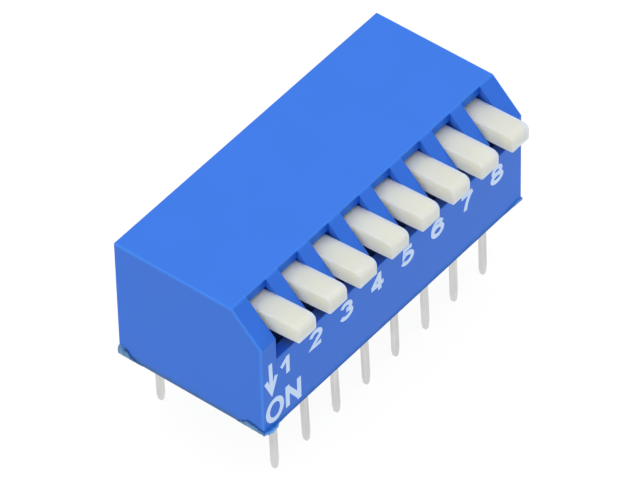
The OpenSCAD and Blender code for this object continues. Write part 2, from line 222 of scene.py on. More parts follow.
def make_piece(name, points, faces, material, body, smooth=True, attributes=None):
    """A mesh on a CAD body, from points in metres, lists of corner numbers and values at the points."""
    mesh = bpy.data.meshes.new(name)
    mesh.from_pydata(np.asarray(points, float).tolist(), [], [list(map(int, f)) for f in faces])
    for key, values in (attributes or {}).items():
        values = np.asarray(values, np.float32)
        if values.ndim == 1:
            mesh.attributes.new(key, "FLOAT", "POINT").data.foreach_set("value", values)
        else:
            values = np.concatenate([values, np.ones((len(values), 1), np.float32)], 1)
            mesh.attributes.new(key, "FLOAT_COLOR", "POINT").data.foreach_set("color", values.ravel())
    mesh.shade_smooth() if smooth else mesh.shade_flat()
    mesh.update()
    piece = bpy.data.objects.new(name, mesh)
    bpy.context.scene.collection.objects.link(piece)
    mesh.materials.append(material)
    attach(piece, body)
    return piece


def smoothstep(value):
    """The smoothstep of a value v, kept between 0 and 1: v v (3 - 2 v)."""
    v = np.clip(value, 0, 1)
    return v * v * (3 - 2 * v)


def arc(centre, radius, start, end, steps):
    """Points on a circle, or on an ellipse with two radii, between two angles in radians, ends included."""
    a = np.linspace(start, end, steps + 1)
    return np.asarray(centre) + np.stack([np.cos(a), np.sin(a)], 1) * radius


def run(a, b, step):
    """Points along a line, about a step apart, with one more close to each end."""
    a, b = np.asarray(a, float), np.asarray(b, float)
    span = np.linalg.norm(b - a)
    near = min(0.5, 0.05 * MM / span)
    t = np.unique(np.concatenate([np.linspace(0, 1, max(2, int(span / step) + 1)), [near, 1 - near]]))
    return a + t[:, None] * (b - a)


def tangent_line(c1, r1, c2, r2, side):
    """Ends of the line that touches two circles, on the right (1) or left (-1) of the way between them."""
    c1, c2 = np.asarray(c1, float), np.asarray(c2, float)
    way = c2 - c1
    turn = math.atan2(way[1], way[0]) - side * math.acos((r1 - r2) / np.linalg.norm(way))
    n = np.array([math.cos(turn), math.sin(turn)])
    return c1 + r1 * n, c2 + r2 * n


def joined(*stretches):
    """A closed outline from stretches of points, with the doubled points left out."""
    points = np.concatenate(stretches)
    keep = np.linalg.norm(points - np.roll(points, 1, axis=0), axis=1) > 1e-7
    return points[keep]


def inward(outline):
    """For each point of a counter-clockwise outline, the step that moves both its edges in by one unit."""
    back = outline - np.roll(outline, 1, axis=0)
    back /= np.linalg.norm(back, axis=1)[:, None]
    ahead = np.roll(back, -1, axis=0)
    total = back + ahead
    normal = np.stack([-total[:, 1], total[:, 0]], 1)
    return normal / (1 + np.sum(back * ahead, axis=1))[:, None]


def soft_edged_slab(outline, width, radius, steps=5):
    """A slab of that width across an outline, with a quarter-round of its own radius at each outline point.

    Row k of the surface is the outline moved in by r(1 - sin t) at x = r(1 - cos t) from the side, with t
    from 0 at the flat side to a quarter turn at the rim. The flat sides are one face each. Each point comes
    with two values: the first rises to 1 over the far side's rounding, where a highlight is painted, the
    second is 1 on the flat sides, which are painted lighter.
    """
    n = len(outline)
    step_in = inward(outline)
    t = np.linspace(0, math.pi / 2, steps + 1)
    # One ring more lies on the flat side, and three more on the rim, in parts of the radius.
    inset = np.concatenate([[1.25], 1 - np.sin(t), [0.0, 0.0, 0.0]])
    across = np.concatenate([[0.0], 1 - np.cos(t), [1.25, 2.2, 4.0]])
    edge = np.concatenate([[0.0, 0.5], np.sin(2 * t[1:-1]) ** 0.5, [1.0, 1.0, 0.8, 0.0]])
    side = np.concatenate([[1.0], 1 - np.sin(t), [0.0, 0.0, 0.0]])
    inset, side = (np.concatenate([a, a[::-1]]) for a in (inset, side))
    across = np.concatenate([across, -across[::-1]])
    edge = np.concatenate([np.zeros(len(edge)), edge[::-1]])
    half = np.where(np.arange(len(inset)) < len(inset) // 2, -width / 2, width / 2)
    yz = outline[None] + step_in[None] * (inset[:, None] * radius[None])[..., None]
    x = half[:, None] + across[:, None] * radius[None]
    points = np.concatenate([x[..., None], yz], 2).reshape(-1, 3)
    faces = grid_faces(len(inset), n, closed=True).tolist()
    faces.append(list(range(n))[::-1])
    faces.append(list(range((len(inset) - 1) * n, len(inset) * n)))
    return points, faces, np.repeat(edge, n), np.repeat(side, n)


def capped_tube(rings, first, last):
    """A closed tube through rings of points, drawn together in one point at each end."""
    rows, count = rings.shape[:2]
    faces = grid_faces(rows, count, closed=True).tolist()
    total = rows * count
    k = np.arange(count)
    after, end = (k + 1) % count, total - count
    faces += np.stack([np.full(count, total), after, k], 1).tolist()
    faces += np.stack([np.full(count, total + 1), end + k, end + after], 1).tolist()
    return np.concatenate([rings.reshape(-1, 3), [first], [last]]), faces


def lathe_x(profile, centre, count=48):
    """A closed solid turned about an axis along X, with a ring of points for each (x, radius) pair."""
    profile, centre = np.asarray(profile, float), np.asarray(centre, float)
    a = np.linspace(0, 2 * math.pi, count, endpoint=False)
    x, r = profile[:, :1], profile[:, 1:]
    rings = np.stack([np.broadcast_to(x, (len(x), count)), r * np.cos(a), r * np.sin(a)], 2) + centre
    return capped_tube(rings, centre + (profile[0, 0], 0, 0), centre + (profile[-1, 0], 0, 0))


# ---- finishes ----------------------------------------------------------------


def feed(tree, socket, value):
    """Links an input to another node's output, or gives it a number or a colour of its own."""
    if hasattr(value, "links"):
        tree.links.new(value, socket)
    else:
        socket.default_value = (*value, 1) if socket.type == "RGBA" else value


def maths(tree, operation, first, *others):
    """A math operation on sockets and numbers, one after another where there are more than two."""
    for other in others or (0,):
        node = tree.nodes.new("ShaderNodeMath")
        node.operation = operation
        feed(tree, node.inputs[0], first)
        feed(tree, node.inputs[1], other)
        first = node.outputs[0]
    return first


def axes_of(tree, vector):
    """The X, Y and Z of a vector."""
    node = tree.nodes.new("ShaderNodeSeparateXYZ")
    tree.links.new(vector, node.inputs[0])
    return node.outputs


def noise(tree, place, scale, detail=2):
    """A noise at a place, with so many lumps to the metre."""
    node = tree.nodes.new("ShaderNodeTexNoise")
    node.inputs["Detail"].default_value = detail
    feed(tree, node.inputs["Vector"], place)
    feed(tree, node.inputs["Scale"], scale)
    return node.outputs["Fac"]


def carried(tree, name, output="Fac"):
    """The value or the colour that each point of a piece carries."""
    node = tree.nodes.new("ShaderNodeAttribute")
    node.attribute_name = name
    return node.outputs[output]


def ranged(tree, value, low, high, out_low, out_high, smooth=False):
    """A value moved from one range into another, and kept inside it."""
    node = tree.nodes.new("ShaderNodeMapRange")
    node.interpolation_type = "SMOOTHSTEP" if smooth else "LINEAR"
    tree.links.new(value, node.inputs["Value"])
    for key, number in (("From Min", low), ("From Max", high), ("To Min", out_low), ("To Max", out_high)):
        node.inputs[key].default_value = number
    return node.outputs["Result"]


def varied(tree, value, low, high):
    """A value from low to high that follows a noise, most of which lies between 0.3 and 0.7."""
    return ranged(tree, value, 0.3, 0.7, low, high)


def mixed_colour(tree, factor, low, high):
    """A colour between two, by a factor socket."""
    mix = tree.nodes.new("ShaderNodeMix")
    mix.data_type = "RGBA"
    tree.links.new(factor, mix.inputs[0])
    feed(tree, mix.inputs[6], low)
    feed(tree, mix.inputs[7], high)
    return mix.outputs[2]


def bumped(tree, shader, height, strength, distance):
    """Gives a shader a bump from a height socket."""
    bump = tree.nodes.new("ShaderNodeBump")
    bump.inputs["Strength"].default_value = strength
    bump.inputs["Distance"].default_value = distance
    tree.links.new(height, bump.inputs["Height"])
    tree.links.new(bump.outputs["Normal"], shader.inputs["Normal"])


def new_material(name):
    """A material with its tree, its Principled shader and its Object coordinates."""
    material = bpy.data.materials.new(name)
    material.use_nodes = True
    tree = material.node_tree
    place = tree.nodes.new("ShaderNodeTexCoord").outputs["Object"]
    return material, tree, tree.nodes["Principled BSDF"], place


def mould_skin_group():
    """Fine grain over slow sink marks, as a height, and a shade that varies slowly over the surface."""
    if "mould_skin" in bpy.data.node_groups:
        return bpy.data.node_groups["mould_skin"]
    group = bpy.data.node_groups.new("mould_skin", "ShaderNodeTree")
    for label, way, kind in (("Vector", "INPUT", "Vector"), ("Grain Scale", "INPUT", "Float"),
                             ("Height", "OUTPUT", "Float"), ("Shade", "OUTPUT", "Float")):
        group.interface.new_socket(label, in_out=way, socket_type=f"NodeSocket{kind}")
    given = group.nodes.new("NodeGroupInput").outputs
    out = group.nodes.new("NodeGroupOutput").inputs
    grain = noise(group, given["Vector"], given["Grain Scale"], 3)
    sink_marks = noise(group, given["Vector"], 260)
    height = maths(group, "MULTIPLY", maths(group, "ADD", grain, sink_marks), 0.5)
    group.links.new(height, out["Height"])
    group.links.new(sink_marks, out["Shade"])
    return group


def moulded_plastic(name, base, roughness, grain, contrast):
    """Moulded plastic: slow shade changes, gloss that varies a little, and a fine grain."""
    material, tree, shader, place = new_material(name)
    skin = tree.nodes.new("ShaderNodeGroup")
    skin.node_tree = mould_skin_group()
    skin.inputs["Grain Scale"].default_value = 1 / grain
    tree.links.new(place, skin.inputs["Vector"])
    height, shade = skin.outputs
    low = [c * (1 - contrast) for c in base]
    high = [min(1, c * (1 + contrast)) for c in base]
    feed(tree, shader.inputs["Base Color"], mixed_colour(tree, varied(tree, shade, 0, 1), low, high))
    feed(tree, shader.inputs["Roughness"], varied(tree, height, roughness - 0.04, roughness + 0.04))
    bumped(tree, shader, height, 0.15, 0.01 * MM)
    return material, tree, shader, place


def cover_depths(tree, place, low, high):
    """How far a point of the cover lies behind its end, front, slope and top planes, and under its skin.

    The end is the nearer of the two. With n the slope's normal, the depth under the slope is
    (front - SLOPE_DEPTH) n_y + top n_z. The skin's depth is the least of them all and of the distances from
    the back and the foot.
    """
    x, y, z = axes_of(tree, place)
    span = math.hypot(SLOPE_DEPTH, SLOPE_HEIGHT)
    end = maths(tree, "SUBTRACT", high[0], maths(tree, "ABSOLUTE", x))
    front = maths(tree, "SUBTRACT", y, low[1])
    top = maths(tree, "SUBTRACT", high[2], z)
    back = maths(tree, "SUBTRACT", high[1], y)
    behind = maths(tree, "MULTIPLY", maths(tree, "SUBTRACT", front, SLOPE_DEPTH), SLOPE_HEIGHT / span)
    slope = maths(tree, "ADD", behind, maths(tree, "MULTIPLY", top, SLOPE_DEPTH / span))
    return end, front, slope, top, maths(tree, "MINIMUM", end, back, front, top, slope, z)


def resin_smears(tree, place, low):
    """Masks of a ragged, darker band up the foot of the cover's end and front: on the end a resin stain with
    painted shade, on the front painted shade.

    The band is full at 0.06 mm and gone at 0.46 mm above the foot, and climbs towards the end's back corner.
    """
    x, y, z = axes_of(tree, place)
    ragged = maths(tree, "ADD", z, varied(tree, noise(tree, place, 1300, 4), -0.10 * MM, 0.10 * MM))
    climb = ranged(tree, y, 3.2 * MM, 4.4 * MM, 0, -0.30 * MM, smooth=True)
    on_end = ranged(tree, x, low[0] + 0.03 * MM, low[0] + 0.06 * MM, 0.85, 0)
    on_front = ranged(tree, y, low[1] + 0.03 * MM, low[1] + 0.06 * MM, 0.8, 0)
    masks = []
    for height, side in ((maths(tree, "ADD", ragged, climb), on_end), (ragged, on_front)):
        foot_band = ranged(tree, height, 0.06 * MM, 0.46 * MM, 1, 0, smooth=True)
        masks.append(maths(tree, "MULTIPLY", foot_band, side))
    return masks


def rightwards(tree, place, start, end):
    """A mask that grows towards the right wall of each slot, over two distances from the slot's middle."""
    wrap = tree.nodes.new("ShaderNodeMath")
    wrap.operation = "WRAP"
    feed(tree, wrap.inputs[0], maths(tree, "SUBTRACT", axes_of(tree, place)["X"], PITCH / 2))
    feed(tree, wrap.inputs[1], PITCH / 2)
    feed(tree, wrap.inputs[2], -PITCH / 2)
    return ranged(tree, wrap.outputs[0], start, end, 0, 1, smooth=True)


def cover_plastic(props):
    """Blue plastic with its slope darkened by painted shade, painted highlights along its sharp edges,
    painted shade in its slots, and a resin stain with painted shade up its foot.
    """
    low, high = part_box("cover")
    material, tree, shader, place = moulded_plastic("cover_blue_plastic", props.blue, props.roughness,
                                                    props.grain, 0.02)
    end, front, slope, top, skin = cover_depths(tree, place, low, high)
    # Painted shade: the sloping face takes the darker Slope colour.
    slope_shade = ranged(tree, slope, 0.005 * MM, 0.03 * MM, 1, 0)
    # A painted highlight in the Rim colour runs along an end's edges, 2.5 times as wide on the end as on the
    # faces beside it.
    long_way = maths(tree, "MULTIPLY", maths(tree, "MINIMUM", front, slope, top), 0.4)
    end_edge_highlight = ranged(tree, maths(tree, "MAXIMUM", end, long_way), 0.01 * MM, 0.10 * MM, 1, 0, smooth=True)
    # A fainter painted highlight runs where the top meets the slope.
    ridge_highlight = ranged(tree, maths(tree, "MAXIMUM", slope, top), 0.02 * MM, 0.10 * MM, 0.35, 0, smooth=True)
    inside = ranged(tree, skin, 0.03 * MM, 0.09 * MM, 0, 1)
    slot_end = maths(tree, "MULTIPLY", ranged(tree, front, 1.80 * MM, 1.86 * MM, 0, 1),
                     ranged(tree, skin, 0.02 * MM, 0.05 * MM, 0, 1))
    corner = maths(tree, "MULTIPLY", slot_end, rightwards(tree, place, -0.1 * MM, 0.7 * MM))
    # Painted shade: the faces inside the slots below 5.2 mm take the Depth colour, and those towards each
    # slot's right wall the Shade colour.
    low_down = ranged(tree, axes_of(tree, place)["Z"], 5.2 * MM, 5.9 * MM, 1, 0, smooth=True)
    deep_bay_shade = maths(tree, "MULTIPLY", inside, low_down)
    bay_shade = maths(tree, "MULTIPLY", deep_bay_shade, rightwards(tree, place, 0, 0.6 * MM))
    # A darker band up the foot: a resin stain with painted shade on the end, painted shade on the front.
    end_smear_and_shade, front_foot_shade_mask = resin_smears(tree, place, low)
    shade = shader.inputs["Base Color"].links[0].from_socket
    for mask, over in ((slope_shade, props.slope), (maths(tree, "MAXIMUM", end_edge_highlight, ridge_highlight), props.rim),
                       (inside, props.inside), (corner, props.corner), (deep_bay_shade, props.depth),
                       (bay_shade, props.shade), (front_foot_shade_mask, props.front_smear),
                       (end_smear_and_shade, props.smear)):
        shade = mixed_colour(tree, mask, shade, over)
    feed(tree, shader.inputs["Base Color"], shade)
    gloss = shader.inputs["Roughness"].links[0].from_socket
    feed(tree, shader.inputs["Roughness"], maths(tree, "MAXIMUM", gloss, inside))
    shader.inputs["Specular IOR Level"].default_value = 0.18
    return material


def lever_plastic(props):
    """Ivory plastic that glows a little, with painted light on its flat sides and nose, and painted
    highlights along its edges.
    """
    material, tree, shader, _ = moulded_plastic("lever_ivory_plastic", props.ivory, 0.38, 0.09 * MM, 0.03)
    edge, side, nose = (carried(tree, name) for name in ("edge", "side", "nose"))
    # Painted light: the nose and the flat sides take paler colours than the top, and a painted highlight runs
    # along the right upper edge and under the nose.
    shade = mixed_colour(tree, nose, shader.inputs["Base Color"].links[0].from_socket, props.nose)
    shade = mixed_colour(tree, side, shade, props.side)
    rim = mixed_colour(tree, nose, props.rim, props.nose_rim)
    shade = mixed_colour(tree, ranged(tree, edge, 0, 1, 0, 0.9), shade, rim)
    feed(tree, shader.inputs["Base Color"], shade)
    shader.inputs["Subsurface Weight"].default_value = 1.0
    shader.inputs["Subsurface Radius"].default_value = (1.0, 0.92, 0.70)
    shader.inputs["Subsurface Scale"].default_value = 1.8 * MM
    return material


def plated_metal(name, base, roughness, contrast):
    """Plated strip metal: long drawn lines along Z in shade and height, and slow dull patches."""
    material, tree, shader, place = new_material(name)
    stretch = tree.nodes.new("ShaderNodeMapping")
    stretch.inputs["Scale"].default_value = (1, 1, 0.05)
    tree.links.new(place, stretch.inputs["Vector"])
    lines = noise(tree, stretch.outputs["Vector"], 8000, 3)
    streak = ranged(tree, lines, 0.35, 0.65, 0, 1)
    low = [c * (1 - contrast) for c in base]
    dull = varied(tree, noise(tree, place, 900), roughness - 0.06, roughness + 0.06)
    feed(tree, shader.inputs["Base Color"], mixed_colour(tree, streak, low, base))
    feed(tree, shader.inputs["Roughness"], dull)
    shader.inputs["Metallic"].default_value = 1.0
    bumped(tree, shader, lines, 0.3, 0.01 * MM)
    return material


def resin_finish():
    """Cast resin, glossy with slow clouding, in the tint that each point of the piece carries."""
    material, tree, shader, place = new_material("teal_resin")
    cloud = noise(tree, place, 2600, 3)
    lift = tree.nodes.new("ShaderNodeVectorMath")
    lift.operation = "SCALE"
    feed(tree, lift.inputs[0], carried(tree, "tint", "Color"))
    feed(tree, lift.inputs["Scale"], varied(tree, cloud, 0.8, 1.2))
    feed(tree, shader.inputs["Base Color"], lift.outputs[0])
    feed(tree, shader.inputs["Roughness"], varied(tree, cloud, 0.20, 0.34))
    shader.inputs["Specular IOR Level"].default_value = 0.25
    bumped(tree, shader, cloud, 0.3, 0.015 * MM)
    return material


def ink_finish(props):
    """Printing ink: matt, a little thin in places, with a faint painted glow."""
    material, tree, shader, place = new_material("print_ink")
    speckle = noise(tree, place, 9000, 3)
    fade = ranged(tree, speckle, 0.62, 0.8, 0, 0.5)
    weak = [0.75 * c for c in props.ink]
    feed(tree, shader.inputs["Base Color"], mixed_colour(tree, fade, props.ink, weak))
    feed(tree, shader.inputs["Roughness"], varied(tree, speckle, 0.5, 0.6))
    # Painted glow: the ink emits a faint blue light of its own.
    shader.inputs["Emission Color"].default_value = (*props.brightener, 1)
    shader.inputs["Emission Strength"].default_value = 1.0
    return material


def give(node, material):
    """Puts a material on a CAD node in place of its own."""
    data = frame["nodes"][node].data
    data.materials.clear()
    data.materials.append(material)


# ---- the pieces --------------------------------------------------------------


class DIP_OT_cover(Operator):
    """Give the cover its moulded edges and skin"""
    bl_idname = "dip.cover"
    bl_label = "Cover"

    def execute(self, context):
        props = context.scene.dip_cover
        cover = frame["nodes"]["cover"]
        give("cover", cover_plastic(props))
        weld = cover.modifiers.new("merge", "WELD")
        weld.merge_threshold = 0.0005 * MM
        flat = cover.modifiers.new("flat_faces", "DECIMATE")
        flat.decimate_type = "DISSOLVE"
        flat.angle_limit = math.radians(0.3)
        edges = cover.modifiers.new("moulded_edges", "BEVEL")
        edges.width = props.edge_radius
        edges.segments = 3
        edges.limit_method = "ANGLE"
        edges.angle_limit = math.radians(35)
        edges.harden_normals = True
        close = cover.modifiers.new("close", "WELD")
        close.merge_threshold = 0.0008 * MM
        return {"FINISHED"}


def lever_outline(props, nose_y, front_y, pivot):
    """Closed side outline of a lever in (y, z), counter-clockwise from the heel.

    A paddle of even thickness rises towards the nose, with a round upper and lower edge there. From the
    throat under it, tangent lines run on round a small cam and the hub, and back to the heel.
    """
    slope = math.tan(props.rise)
    slot_y, slot_top = front_y + SLOPE_DEPTH, 7.36 * MM
    top = lambda y: slot_top + (slot_y - y) * slope
    under = lambda y: top(y) - props.thickness / math.cos(props.rise)
    r1, r2 = props.nose_top, props.nose_low
    top_c = (nose_y + r1, top(nose_y + r1) - r1 / math.cos(props.rise))
    low_c = (nose_y + r2, under(nose_y + r2) + r2 / math.cos(props.rise))
    cam_c, cam_r, hub_r = pivot + np.array([-1.05, -1.70]) * MM, 0.45 * MM, 1.20 * MM
    throat_y, heel_y = front_y + 0.95 * MM, pivot[0] - 0.80 * MM
    throat, heel = (throat_y, under(throat_y)), (heel_y, top(heel_y))
    front = tangent_line(throat, 0, cam_c, cam_r, 1)
    back = tangent_line(cam_c, cam_r, pivot, hub_r, 1)
    crown = tangent_line(heel, 0, pivot, hub_r, -1)
    heading = lambda point, centre: math.atan2(*(np.asarray(point) - centre)[::-1])
    cam_from, cam_to = heading(front[1], cam_c), heading(back[0], cam_c)
    hub_from, hub_to = heading(back[1], pivot), heading(crown[1], pivot)
    cam_to += 2 * math.pi * (cam_to < cam_from)
    hub_to += 2 * math.pi * (hub_to < hub_from)
    step = 0.2 * MM
    upper = arc(top_c, r1, math.pi / 2 - props.rise, math.pi, 12)
    lower = arc(low_c, r2, math.pi, math.pi * 1.5 - props.rise, 8)
    return joined(run(heel, upper[0], step), upper, run(upper[-1], lower[0], step), lower,
                  run(lower[-1], throat, step), run(*front, step), arc(cam_c, cam_r, cam_from, cam_to, 14),
                  run(*back, step), arc(pivot, hub_r, hub_from, hub_to, 24), run(crown[1], heel, step))


def trunnion_bar(pivot):
    """The bar that a lever turns on, with soft edges: a pin at each end, and a thicker boss inside it."""
    pin, boss, middle = 1.16, 0.77, 0.55
    pin_r, boss_r, soft = 0.50, 0.80, 0.05
    half = [(pin, pin_r - soft), (pin - soft, pin_r), (boss, pin_r), (boss, boss_r - soft),
            (boss - soft, boss_r), (middle, boss_r)]
    profile = np.array([(-x, r) for x, r in half] + half[::-1]) * MM
    return lathe_x(profile, (0, *pivot))


def lever_moulding(props, pivot):
    """Points and faces of a lever in the middle of the part, and what its points carry for the material.

    The slab's soft edges widen towards the nose. "edge" marks the painted highlight along the right upper
    edge and under the nose, "side" the flat sides and "nose" the nose's face, which both take painted light.
    """
    front_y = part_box("cover")[0][1]
    nose_y = front_y - props.reach
    outline = lever_outline(props, nose_y, front_y, pivot)
    # Where the edges start to widen and the nose's painted light starts, behind the nose, and over what
    # length.
    widen_from, widen_over = 0.75 * MM, 0.55 * MM
    nose_light_from, nose_light_over = 0.22 * MM, 0.18 * MM
    highlight_width = 0.22 * MM
    ahead = smoothstep((nose_y + widen_from - outline[:, 0]) / widen_over)
    radius = props.side_edge + (props.nose_side - props.side_edge) * ahead
    slab, faces, edge, side = soft_edged_slab(outline, props.width, radius)
    # A painted highlight under the nose, where its lower edge turns.
    under_nose = outline[np.argmin(outline[:, 0] + 0.3 * outline[:, 1])]
    near = np.clip(1.2 - np.linalg.norm(slab[:, 1:] - under_nose, axis=1) / highlight_width, 0, 1)
    edge = np.maximum(edge, near * (1 - side))
    nose = np.clip((nose_y + nose_light_from - slab[:, 1]) / nose_light_over, 0, 1) * (1 - side)
    bar, bar_faces = trunnion_bar(pivot)
    faces = faces + [[k + len(slab) for k in face] for face in bar_faces]
    marks = {key: np.concatenate([value, np.zeros(len(bar))])
             for key, value in (("edge", edge), ("side", side), ("nose", nose))}
    return np.concatenate([slab, bar]), faces, marks


class DIP_OT_levers(Operator):
    """Build the levers with their rounded noses, soft edges and trunnions"""
    bl_idname = "dip.levers"
    bl_label = "Levers"

    def execute(self, context):
        props = context.scene.dip_levers
        material = lever_plastic(props)
        pivot = np.array(HINGES["switch_1"]["pos_m"][1:])
        points, faces, marks = lever_moulding(props, pivot)
        hub = np.array([0, *pivot])
        for node in LEVERS:
            body = node.replace("lever", "switch")
            rest = TRAVEL - math.radians(HINGES[body]["range_deg"][1])
            turn = np.array(Matrix.Rotation(rest, 3, "X"))
            placed = (points - hub) @ turn.T + hub + np.array([centre_of(node).x, 0, 0])
            piece = make_piece(f"{node}_moulding", placed, faces, material, body, attributes=marks)
            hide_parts(node)
        return {"FINISHED"}


class DIP_OT_metal(Operator):
    """Finish the terminals and the contact springs, and put a copy of each spring on the housing in its place
    """
    bl_idname = "dip.metal"
    bl_label = "Metal"

    def execute(self, context):
        props = context.scene.dip_metal
        tin = plated_metal("tin_plate", props.tin, 0.32, 0.12)
        bronze = plated_metal("spring_bronze", props.bronze, 0.30, 0.08)
        for node in TERMINALS:
            give(node, tin)
        for n, node in enumerate(SPRINGS, 1):
            give(node, bronze)
            blade = bpy.data.objects.new(f"spring_{n}_blade", frame["nodes"][node].data.copy())
            context.scene.collection.objects.link(blade)
            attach(blade, "housing")
            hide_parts(node)
            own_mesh(blade)
        return {"FINISHED"}


def resin_bead(knots, axis, wall, tints, ripple, flat):
    """A bead of resin along the foot of a wall, with a tint for each point.

    The ring at each place is an ellipse that stands on the foot: at angle t it's w cos t out of the wall and
    h (1 + sin t) / 2 high. The width w and the height h pass through knots (place, w, h, shade, crease) by
    smoothsteps, with a ripple of two sine waves. The bead runs along X (axis 0) or Y (axis 1) and stands out
    towards the negative side of the other one. The tint goes from thin to thick resin by the shade, and by
    the crease it takes painted shade towards the top, where the bead meets the wall, over less of a flat
    bead.
    """
    start, end, step = knots[0, 0], knots[-1, 0], 0.03 * MM
    place = np.linspace(start, end, int((end - start) / step) + 1)[1:-1]
    k = np.clip(np.searchsorted(knots[:, 0], place) - 1, 0, len(knots) - 2)
    part = smoothstep((place - knots[k, 0]) / (knots[k + 1, 0] - knots[k, 0]))[:, None]
    w, h, thick, crease_shade = (knots[k, 1:] + part * (knots[k + 1, 1:] - knots[k, 1:])).T
    long_wave, short_wave = 0.085 * MM, 0.037 * MM
    wave = ripple * (np.sin(place / long_wave) + 0.8 * np.sin(place / short_wave + 1))
    w, h = w * (1 + wave), h * (1 - 0.6 * wave)
    t = np.linspace(0, 2 * math.pi, 24, endpoint=False)
    rings = np.zeros((len(place), len(t), 3))
    rings[..., axis] = place[:, None]
    rings[..., 1 - axis] = wall - w[:, None] * np.cos(t)
    rings[..., 2] = h[:, None] * (1 + np.sin(t)) / 2
    tips = np.zeros((2, 3))
    tips[:, axis] = start, end
    tips[:, 1 - axis] = wall
    points, faces = capped_tube(rings, *tips)
    if axis == 0:
        faces = [face[::-1] for face in faces]
    # Painted shade: the top of the bead, where it meets the wall, turns towards the crease colour.
    top = smoothstep((np.sin(t) - 0.40 - 0.15 * flat) / 0.38)[None, :, None]
    thin, pale, crease = (np.asarray(c) for c in tints)
    tint = thin + (pale - thin) * thick[:, None, None]
    tint = (tint + (crease - tint) * crease_shade[:, None, None] * top).reshape(-1, 3)
    return points, faces, np.concatenate([tint, tint[:1], tint[-1:]])


def resin_fill(low, high, bottom, top, pins):
    """The slab of resin that fills the rim, drawn down a little at the walls and at the pins.

    Its lower surface is bottom - a exp(-d / b), with d the distance from the nearest wall or pin.
    """
    wall_a, wall_b = 0.045 * MM, 0.10 * MM
    pin_a, pin_b, pin_r = 0.05 * MM, 0.09 * MM, 0.22 * MM
    x = np.linspace(low[0], high[0], 220)
    y = np.linspace(low[1], high[1], 90)
    x, y = np.meshgrid(x, y, indexing="ij")
    wall = np.minimum(np.minimum(x - low[0], high[0] - x), np.minimum(y - low[1], high[1] - y))
    pin = np.min([np.hypot(x - px, y - py) for px, py in pins], axis=0)
    under = bottom - wall_a * np.exp(-wall / wall_b) - pin_a * np.exp(-np.maximum(pin - pin_r, 0) / pin_b)
    lower = np.stack([x, y, np.maximum(under, 0)], 2).reshape(-1, 3)
    upper = np.stack([x, y, np.full_like(x, top)], 2).reshape(-1, 3)
    rows, columns = x.shape
    sheet = grid_faces(rows, columns)
    r, c, count = np.arange(rows - 1), np.arange(columns - 1), rows * columns
    rim = np.concatenate([c, (r + 1) * columns - 1, count - 1 - c, (rows - 1 - r) * columns])
    after = np.roll(rim, -1)
    side = np.stack([rim, after, after + count, rim + count], 1)
    faces = sheet.tolist() + (sheet[:, ::-1] + count).tolist() + side[:, ::-1].tolist()
    return np.concatenate([lower, upper]), faces


def from_wall(wall, *knots):
    """A bead's knots, counted from a wall: lengths in millimetres, and two shares."""
    return (np.array(knots) + (wall / MM, 0, 0, 0, 0)) * (MM, MM, MM, 1, 1)


def resin_beads(props, low, high):
    """The beads that ran out along the front and along both halves of the left end."""
    front_tints = (props.front_thin, props.lump, props.front_crease)
    end_tints = (props.end_thin, props.end_bead, props.end_crease)
    drop = from_wall(low[0], (-0.06, 0, 0, 0, 1), (-0.02, 0.05, 0.19, 0.4, 1), (0.06, 0.11, 0.22, 0.8, 1),
                     (0.20, 0.22, 0.23, 1, 1), (0.45, 0.29, 0.21, 1, 1), (0.85, 0.22, 0.18, 0.9, 1),
                     (1.25, 0.06, 0.12, 0.2, 1), (2.0, 0.02, 0.07, 0, 1))
    swell = from_wall(high[0], (-1.6, 0.02, 0.07, 0, 1), (-0.9, 0.06, 0.14, 0.3, 1),
                      (-0.25, 0.10, 0.20, 0.6, 0.8), (0, 0.10, 0.20, 0.6, 0.3), (0.07, 0.07, 0.15, 0.6, 0),
                      (0.11, 0, 0, 0.6, 0))
    end_front = from_wall(low[1], (-0.07, 0, 0, 0, 1), (0, 0.06, 0.33, 0.5, 1), (0.30, 0.08, 0.38, 0.8, 1),
                          (0.68, 0.085, 0.48, 1, 1), (1.04, 0.08, 0.51, 1, 1), (1.40, 0.06, 0.32, 0.7, 1),
                          (1.60, 0.03, 0.15, 0.2, 1), (1.85, 0, 0, 0, 1))
    end_back = from_wall(high[1], (-1.60, 0, 0, 0, 1), (-1.20, 0.035, 0.12, 0, 1),
                         (-0.89, 0.07, 0.28, 0.3, 1), (-0.49, 0.10, 0.64, 1, 1), (-0.19, 0.105, 0.72, 1, 0.1),
                         (0.02, 0.105, 0.66, 0.9, 0), (0.08, 0.07, 0.45, 0.6, 0), (0.11, 0, 0, 0, 0))
    return [resin_bead(np.concatenate([drop, swell]), 0, low[1], front_tints, 0.03, 1),
            resin_bead(end_front, 1, low[0], end_tints, 0.08, 0),
            resin_bead(end_back, 1, low[0], end_tints, 0.07, 0)]


class DIP_OT_seal(Operator):
    """Build the resin seal with its run-out beads, and finish the base plate"""
    bl_idname = "dip.seal"
    bl_label = "Seal and Base"

    def execute(self, context):
        props = context.scene.dip_resin
        low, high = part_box("base")
        bottom = 0.05 * MM
        pins = [(HINGES[node.replace("lever", "switch")]["pos_m"][0], side * PIN_ROW) for node in LEVERS
                for side in (-1, 1)]
        points, faces = resin_fill(low, high, bottom, low[2], pins)
        parts = [(points, faces, np.broadcast_to(np.asarray(props.teal), (len(points), 3)))]
        parts += resin_beads(props, *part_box("cover"))
        starts = np.cumsum([0] + [len(part[0]) for part in parts])
        points = np.concatenate([part[0] for part in parts])
        tint = np.concatenate([part[2] for part in parts])
        faces = [[k + start for k in face] for part, start in zip(parts, starts) for face in part[1]]
        piece = make_piece("resin_seal", points, faces, resin_finish(), "housing", attributes={"tint": tint})
        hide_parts("epoxy_seal")
        give("base", moulded_plastic("base_black_plastic", props.black, 0.5, 0.06 * MM, 0.05)[0])
        return {"FINISHED"}


